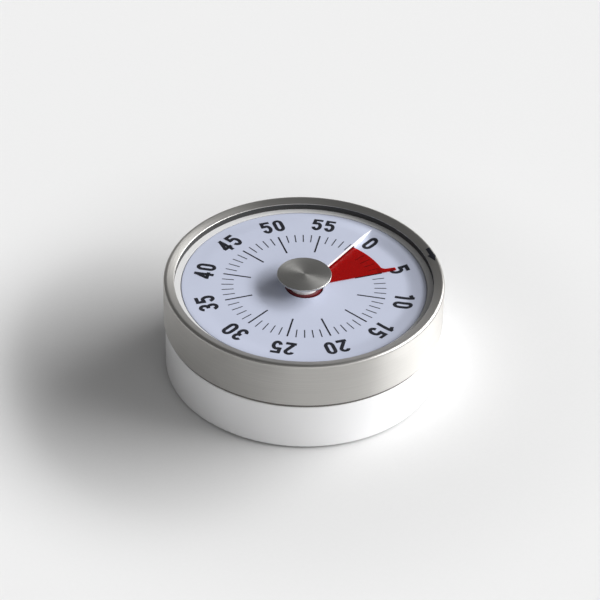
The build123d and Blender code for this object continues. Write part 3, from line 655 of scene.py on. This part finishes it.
def brushed_steel(name, tone, rough, anisotropy, lines, across_radius, brush=CIRCULAR_BRUSH):
    """Steel with fine lines around the axis; across_radius spins them like a lathe cut."""
    n = Nodes(name)
    angle, radius, z = n.round_coordinates()
    across = radius if across_radius else n.math("ADD", z, radius)
    fine_at = n.join(n.math("MULTIPLY", angle, 9.0), n.math("MULTIPLY", across, lines), 0.0)
    long_at = n.join(n.math("MULTIPLY", angle, 2.5), n.math("MULTIPLY", across, lines * 0.25), 3.0)
    fine = n.noise(fine_at, 1.0, 4.0, 0.6)
    long = n.noise(long_at, 1.0, 2.0)
    cloud = n.noise(n.place, 60.0, 2.0)
    streak = n.math("ADD", n.math("MULTIPLY", fine, 0.65), n.math("MULTIPLY", long, 0.35))
    shade = n.mix(n.stretch(streak, 0, 1), tinted(tone, 0.9), tinted(tone, 1.08))
    n.put(n.shader, "Base Color", shade)
    lined = n.stretch(streak, rough - 0.04, rough + 0.05)
    n.put(n.shader, "Roughness", n.math("ADD", lined, n.stretch(cloud, -0.02, 0.02)))
    n.set(Metallic=1.0, Anisotropic=anisotropy, Anisotropic_Rotation=brush)
    n.bump(fine, 0.25, 0.00004)
    tangent = n.add("ShaderNodeTangent", direction_type="RADIAL", axis="Z")
    n.put(n.shader, "Tangent", tangent.outputs[0])
    return n.material


def grained(name, scale, detail, tones, rough, bump, cloud_scale=None):
    """Surface with a fine grain; its two tones follow the grain, or broader clouds."""
    n = Nodes(name)
    grain = n.noise(n.place, scale, detail)
    patches = n.noise(n.place, cloud_scale, 2.0) if cloud_scale else grain
    n.put(n.shader, "Base Color", n.mix(patches, *tones))
    n.put(n.shader, "Roughness", n.stretch(grain, *rough))
    n.bump(grain, *bump)
    return n


def plain_metal(name, tone, rough, scale):
    """Bare metal of the parts inside, with light wear."""
    n = Nodes(name)
    wear = n.noise(n.place, scale, 4.0)
    fine = n.noise(n.place, scale * 8, 2.0)
    n.put(n.shader, "Base Color", n.mix(wear, tinted(tone, 0.93), tone + (1,)))
    n.put(n.shader, "Roughness", n.stretch(wear, rough - 0.02, rough + 0.04))
    n.set(Metallic=1.0)
    n.bump(fine, 0.15, 0.00002)
    return n.material


def make_steels():
    """The ring's wall, its lip and the knob."""
    return {
        "ring": brushed_steel("steel_ring_brushed", (0.56, 0.55, 0.53), 0.47, 0.87, 9000.0, False),
        "lip": brushed_steel("steel_lip_satin", (0.50, 0.49, 0.47), 0.40, 0.4, 9000.0, True),
        "knob": brushed_steel(
            "knob_spun", (0.56, 0.555, 0.535), 0.36, 0.7, 14000.0, True, KNOB_BRUSH
        ),
    }


def make_prints():
    """The dial's stock, the ink on it and the film over it."""
    dial_tones = (0.51, 0.545, 0.67, 1), (0.535, 0.57, 0.695, 1)
    dial = grained("dial_print_stock", 9000.0, 2.0, dial_tones, (0.42, 0.5), (0.08, 0.00001), 90.0)
    dial.put(dial.shader, "Specular IOR Level", 0.4)
    ink_tones = (0.006, 0.007, 0.012, 1), (0.011, 0.012, 0.02, 1)
    ink = grained("printing_ink", 7000.0, 3.0, ink_tones, (0.5, 0.65), (0.15, 0.00001))
    ink.put(ink.shader, "Specular IOR Level", 0.3)
    film_tones = (0.36, 0.009, 0.008, 1), (0.42, 0.012, 0.010, 1)
    film = grained("red_film_sheet", 5000.0, 2.0, film_tones, (0.22, 0.32), (0.06, 0.00001), 120.0)
    film.let_through((0.95, 0.022, 0.02, 1), 0.7)
    return {"dial": dial.material, "ink": ink.material, "film": film.material}


def make_plastics():
    """Mouldings, rubber, the sheet's bare cut edge, and two painted shades: the dark ring in the
    ring's groove and the darkened hub.
    """
    rows = {
        "cut": ("bare_cut_edge", 6000.0, 2.0, (gray(0.86), gray(0.92)), (0.45, 0.6), (0.1, 0.00001)),
        "white": (
            "white_shell", 4500.0, 3.0, (gray(0.80), (0.83, 0.83, 0.84, 1)), (0.36, 0.46),
            (0.10, 0.00002), 70.0,
        ),
        "band": (
            "pale_gray_band", 4500.0, 3.0, (gray(0.70), gray(0.74)), (0.42, 0.5), (0.10, 0.00002),
        ),
        "black": (
            "soft_black", 3000.0, 3.0, (gray(0.022), gray(0.036)), (0.55, 0.7), (0.3, 0.00003),
        ),
        # Painted shade: dark brownish grey for the ring in the groove, standing for the gap's shadow.
        "gap_shade_paint": (
            "painted_gap_shade_gray", 3000.0, 3.0, ((0.10, 0.095, 0.085, 1), (0.13, 0.12, 0.11, 1)), (0.5, 0.65),
            (0.2, 0.00002),
        ),
        # Red moulding: its own dark red, darkened further as painted shade from the knob above it.
        "hub": (
            "red_moulding_painted_shade", 4000.0, 2.0, ((0.10, 0.005, 0.008, 1), (0.14, 0.008, 0.012, 1)),
            (0.35, 0.45), (0.1, 0.00002),
        ),
    }
    return {key: grained(*row).material for key, row in rows.items()}


def make_metals():
    """Tone, roughness and grain scale of each bare metal inside."""
    rows = {
        "plate": ((0.62, 0.62, 0.63), 0.38, 500.0),
        "brass": ((0.72, 0.52, 0.22), 0.32, 700.0),
        "turned": ((0.58, 0.58, 0.60), 0.25, 900.0),
        "blued": ((0.16, 0.19, 0.28), 0.30, 600.0),
        "bell": ((0.70, 0.68, 0.64), 0.18, 300.0),
        "screw": ((0.60, 0.60, 0.61), 0.30, 800.0),
        "magnet": ((0.62, 0.61, 0.58), 0.22, 500.0),
    }
    return {key: plain_metal(key + "_metal", *row) for key, row in rows.items()}


SLOT_LOOKS = {
    "brushed_steel": "ring",
    "white_plastic": "white",
    "dial_white": "dial",
    "black_rubber": "black",
    "red_film": "film",
    "dark_red_plastic": "hub",
    "plate_steel": "plate",
    "brass": "brass",
    "plain_steel": "turned",
    "spring_steel": "blued",
    "bell_steel": "bell",
    "screw_steel": "screw",
    "magnet_nickel": "magnet",
    "black_ink": "ink",
}
NODE_LOOKS = {"dial_housing": "band"}


def dress(made, *materials):
    """Give an object its materials, keeping which face wears which."""
    worn = [face.material_index for face in made.data.polygons]
    made.data.materials.clear()
    for material in materials:
        made.data.materials.append(material)
    if len(materials) > 1:
        made.data.polygons.foreach_set("material_index", worn)


# ---- stage --------------------------------------------------------------
LENS = 169.8
SENSOR = 36.0
AZIMUTH, ELEVATION, ROLL = (math.radians(a) for a in (40.46, 38.17, 1.64))
AIM_HEIGHT = 0.35 * RING_R
DISTANCE = 20.34 * RING_R
AIM_UP, AIM_LEFT = 0.1578 * RING_R, 0.0213 * RING_R


def make_camera():
    """Long-lens camera above the dial's 4 o'clock side, rolled a little."""
    level = math.cos(ELEVATION)
    forward = Vector(
        (-math.sin(AZIMUTH) * level, math.cos(AZIMUTH) * level, -math.sin(ELEVATION))
    )
    side = forward.cross(Vector((0, 0, 1))).normalized()
    above = side.cross(forward)
    right = side * math.cos(ROLL) + above * math.sin(ROLL)
    up = above * math.cos(ROLL) - side * math.sin(ROLL)
    place = Vector((0, 0, AIM_HEIGHT)) - forward * DISTANCE
    target = Vector((0, 0, AIM_HEIGHT)) + up * AIM_UP - right * AIM_LEFT
    ahead = (target - place).normalized()
    right = ahead.cross(up).normalized()
    up = right.cross(ahead)
    data = bpy.data.cameras.new("camera")
    data.lens, data.sensor_width = LENS, SENSOR
    data.clip_start, data.clip_end = 0.01, 20.0
    camera = bpy.data.objects.new("camera", data)
    turned = Matrix((right, up, -ahead)).transposed().to_4x4()
    camera.matrix_world = Matrix.Translation(place) @ turned
    bpy.context.scene.collection.objects.link(camera)
    bpy.context.scene.camera = camera


FLOOR_SIZE = 4.0
# Radii over which the painted shade round the timer fades out to the plain floor.
FLOOR_NEAR_R, FLOOR_FAR_R = 1.3 * RING_R, 2.9 * RING_R


def make_floor():
    """Wide pale floor with painted shade: darker around the timer than further out."""
    bm = bmesh.new()
    bmesh.ops.create_grid(bm, x_segments=8, y_segments=8, size=FLOOR_SIZE)
    mesh = bpy.data.meshes.new("floor")
    bm.to_mesh(mesh)
    bm.free()
    floor = bpy.data.objects.new("floor", mesh)
    bpy.context.scene.collection.objects.link(floor)
    n = Nodes("floor_paper")
    grain = n.noise(n.place, 900.0, 3.0)
    radius = n.round_coordinates()[1]
    away = n.add("ShaderNodeMapRange", interpolation_type="SMOOTHSTEP")
    for key, item in enumerate((radius, FLOOR_NEAR_R, FLOOR_FAR_R, 0.0, 1.0)):
        n.put(away, key, item)
    # Painted shade: the paper is darker close round the timer.
    painted_shade_paper = n.mix(grain, gray(0.72), gray(0.74))
    far_paper = n.mix(grain, gray(0.83), gray(0.85))
    n.put(n.shader, "Base Color", n.mix(away.outputs[0], painted_shade_paper, far_paper))
    n.put(n.shader, "Roughness", 0.9)
    n.put(n.shader, "Specular IOR Level", 0.1)
    n.bump(grain, 0.05, 0.0001)
    dress(floor, n.material)


# Each panel: azimuth from +Y towards +X, its half width, elevation, half height, strength.
WINDOW = (36.0, 48.0, 28.0, 9.0, 27.8)
FRONT = (110.0, 60.0, 20.0, 20.0, 1.6)
BACKDROP = (325.0, 48.0, 4.0, 22.0, 0.6)
AMBIENT = 0.16


class Sky:
    """World shader built from soft-edged panels on a dim surround."""

    def __init__(self):
        self.world = bpy.data.worlds.new("studio")
        bpy.context.scene.world = self.world
        self.world.use_nodes = True
        self.tree = self.world.node_tree
        self.tree.nodes.clear()
        place = self.tree.nodes.new("ShaderNodeTexCoord")
        split = self.tree.nodes.new("ShaderNodeSeparateXYZ")
        self.tree.links.new(place.outputs["Generated"], split.inputs[0])
        x, y, z = split.outputs
        self.azimuth = self.math("ARCTAN2", x, y)
        self.elevation = self.math("ARCSINE", z)

    def math(self, operation, *values):
        node = self.tree.nodes.new("ShaderNodeMath")
        node.operation = operation
        for i, value in enumerate(values):
            if isinstance(value, bpy.types.NodeSocket):
                self.tree.links.new(value, node.inputs[i])
            else:
                node.inputs[i].default_value = value
        return node.outputs[0]

    def soft(self, value, centre, half, wrap=False):
        """1 at centre, easing to 0 at half away; angles in degrees."""
        away = self.math("SUBTRACT", value, math.radians(centre))
        if wrap:
            away = self.math("WRAP", away, math.pi, -math.pi)
        away = self.math("DIVIDE", self.math("ABSOLUTE", away), math.radians(half))
        node = self.tree.nodes.new("ShaderNodeMapRange")
        node.interpolation_type = "SMOOTHSTEP"
        self.tree.links.new(away, node.inputs[0])
        for key, item in ((1, 0.45), (2, 1.0), (3, 1.0), (4, 0.0)):
            node.inputs[key].default_value = item
        return node.outputs[0]

    def panel(self, azimuth, half, elevation, half_height, strength):
        shape = self.math("MULTIPLY", self.soft(self.azimuth, azimuth, half, True),
                          self.soft(self.elevation, elevation, half_height))
        return self.math("MULTIPLY", shape, strength)


def make_light():
    """Long low window on the right, a dim panel in front, and a quiet surround."""
    sky = Sky()
    lit = sky.math("ADD", sky.panel(*WINDOW), sky.panel(*FRONT))
    total = sky.math("ADD", lit, sky.math("ADD", sky.panel(*BACKDROP), AMBIENT))
    tree = sky.tree
    light = tree.nodes.new("ShaderNodeBackground")
    tree.links.new(total, light.inputs[1])
    output = tree.nodes.new("ShaderNodeOutputWorld")
    tree.links.new(light.outputs[0], output.inputs[0])


# ---- build --------------------------------------------------------------
make_camera()
looks = {**make_steels(), **make_prints(), **make_plastics(), **make_metals()}
slots = {part["node"]: part["material_slot"] for part in frame["record"]["subparts"]}
for name, node in frame["nodes"].items():
    dress(node, looks[NODE_LOOKS.get(name, SLOT_LOOKS[slots[name]])])
dress(make_steel_ring(), looks["ring"], looks["lip"])
# The dark ring painted into the groove as shade.
dress(make_gap_seal(), looks["gap_shade_paint"])
dress(make_dial(), looks["dial"], looks["cut"])
dress(make_red_film(), looks["film"])
dress(make_knob(), looks["knob"])
for printed in (make_scale(), make_numerals(), make_arrow()):
    dress(printed, looks["ink"])
dress(make_step_wall(), looks["cut"])
make_floor()
make_light()
bpy.context.scene.view_settings.view_transform = "Standard"
